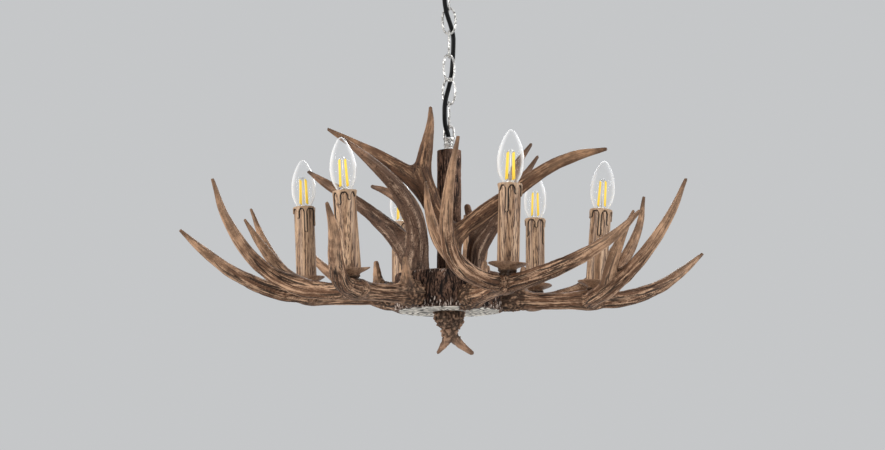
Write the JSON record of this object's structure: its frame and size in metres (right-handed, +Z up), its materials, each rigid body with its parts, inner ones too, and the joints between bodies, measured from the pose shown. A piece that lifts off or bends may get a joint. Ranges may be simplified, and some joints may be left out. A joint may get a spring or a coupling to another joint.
{
  "type": "antler chandelier",
  "caption": "Rustic cast-antler chandelier with candle lamps on a log-slice hub, hung from a ceiling canopy by a chain of swinging links with the cable woven through it",
  "frame": {"origin": "middle of the ceiling bracket's top face, on the ceiling", "axes": "+Z up, the front of the chandelier towards -Y, +X to its right"},
  "size_m": [0.7272, 0.7086, 0.6073],
  "materials": {
    "zinc_steel": "zinc plated, dull",
    "antique_silver": "rough antique silver over dark metal",
    "bark": "dark brown bark, furrowed",
    "cut_wood": "sawn end grain with rings",
    "antler_resin": "grooved antler, brown in the grooves and tan on the ridges",
    "sleeve_wood": "tan wood grain with brown drips from the rim",
    "holder_plastic": "dark moulded plastic",
    "bulb_glass": "clear glass",
    "cap_brass": "nickelled brass",
    "led_filament": "yellow phosphor",
    "cable_jacket": "black flexible jacket",
    "terminal_plastic": "white moulded plastic"
  },
  "bodies": {
    "ceiling_fixing": {"ceiling_bracket": "zinc_steel", "bracket_lock_nut": "zinc_steel", "canopy_nipple": "zinc_steel", "ceiling_canopy": "antique_silver", "canopy_loop": "antique_silver", "terminal_block": "terminal_plastic", "supply_cable": "cable_jacket"},
    "link_1": {"chain_link_1": "antique_silver"},
    "link_2": {"chain_link_2": "antique_silver"},
    "link_3": {"chain_link_3": "antique_silver"},
    "link_4": {"chain_link_4": "antique_silver"},
    "link_5": {"chain_link_5": "antique_silver"},
    "link_6": {"chain_link_6": "antique_silver"},
    "fixture": {"antler_studs": "zinc_steel", "bulb_1": "bulb_glass", "bulb_2": "bulb_glass", "bulb_3": "bulb_glass", "bulb_4": "bulb_glass", "bulb_5": "bulb_glass", "bulb_6": "bulb_glass", "bulb_caps": "cap_brass", "bulb_filaments": "led_filament", "candle_posts": "zinc_steel", "candle_sleeve_1": "sleeve_wood", "candle_sleeve_2": "sleeve_wood", "candle_sleeve_3": "sleeve_wood", "candle_sleeve_4": "sleeve_wood", "candle_sleeve_5": "sleeve_wood", "candle_sleeve_6": "sleeve_wood", "drip_pan_1": "antler_resin", "drip_pan_2": "antler_resin", "drip_pan_3": "antler_resin", "drip_pan_4": "antler_resin", "drip_pan_5": "antler_resin", "drip_pan_6": "antler_resin", "finial": "antler_resin", "hub_cover": "cut_wood", "hub_log_slice": "bark", "hub_nut": "zinc_steel", "lamp_holder_1": "holder_plastic", "lamp_holder_2": "holder_plastic", "lamp_holder_3": "holder_plastic", "lamp_holder_4": "holder_plastic", "lamp_holder_5": "holder_plastic", "lamp_holder_6": "holder_plastic", "lower_antler_1": "antler_resin", "lower_antler_2": "antler_resin", "lower_antler_3": "antler_resin", "lower_antler_4": "antler_resin", "lower_antler_5": "antler_resin", "lower_antler_6": "antler_resin", "stem_collar": "antique_silver", "stem_loop": "antique_silver", "stem_sleeve": "bark", "stem_tube": "zinc_steel", "upper_antler_1": "antler_resin", "upper_antler_2": "antler_resin", "upper_antler_3": "antler_resin", "wire_connectors": "terminal_plastic"}
  },
  "joints": [
    {"name": "link_1_swing", "type": "hinge", "parent": "ceiling_fixing", "child": "link_1", "pos_m": [0, 0, -0.0825], "axis": [1, 0, 0], "range_deg": [-12, 12], "deforming": ["supply_cable"]},
    {"name": "link_2_swing", "type": "hinge", "parent": "link_1", "child": "link_2", "pos_m": [0, 0, -0.1162], "axis": [0, 1, 0], "range_deg": [-12, 12], "deforming": ["supply_cable"]},
    {"name": "link_3_swing", "type": "hinge", "parent": "link_2", "child": "link_3", "pos_m": [0, 0, -0.1508], "axis": [1, 0, 0], "range_deg": [-12, 12], "deforming": ["supply_cable"]},
    {"name": "link_4_swing", "type": "hinge", "parent": "link_3", "child": "link_4", "pos_m": [0, 0, -0.1854], "axis": [0, 1, 0], "range_deg": [-12, 12], "deforming": ["supply_cable"]},
    {"name": "link_5_swing", "type": "hinge", "parent": "link_4", "child": "link_5", "pos_m": [0, 0, -0.22], "axis": [0.8192, 0.5736, 0], "range_deg": [-12, 12], "deforming": ["supply_cable"]},
    {"name": "link_6_swing", "type": "hinge", "parent": "link_5", "child": "link_6", "pos_m": [0, 0, -0.2546], "axis": [0.9397, -0.342, 0], "range_deg": [-12, 12], "deforming": ["supply_cable"]},
    {"name": "fixture_swing", "type": "hinge", "parent": "link_6", "child": "fixture", "pos_m": [0, 0, -0.2892], "axis": [0, 1, 0], "range_deg": [-12, 12], "deforming": ["supply_cable"]}
  ]
}
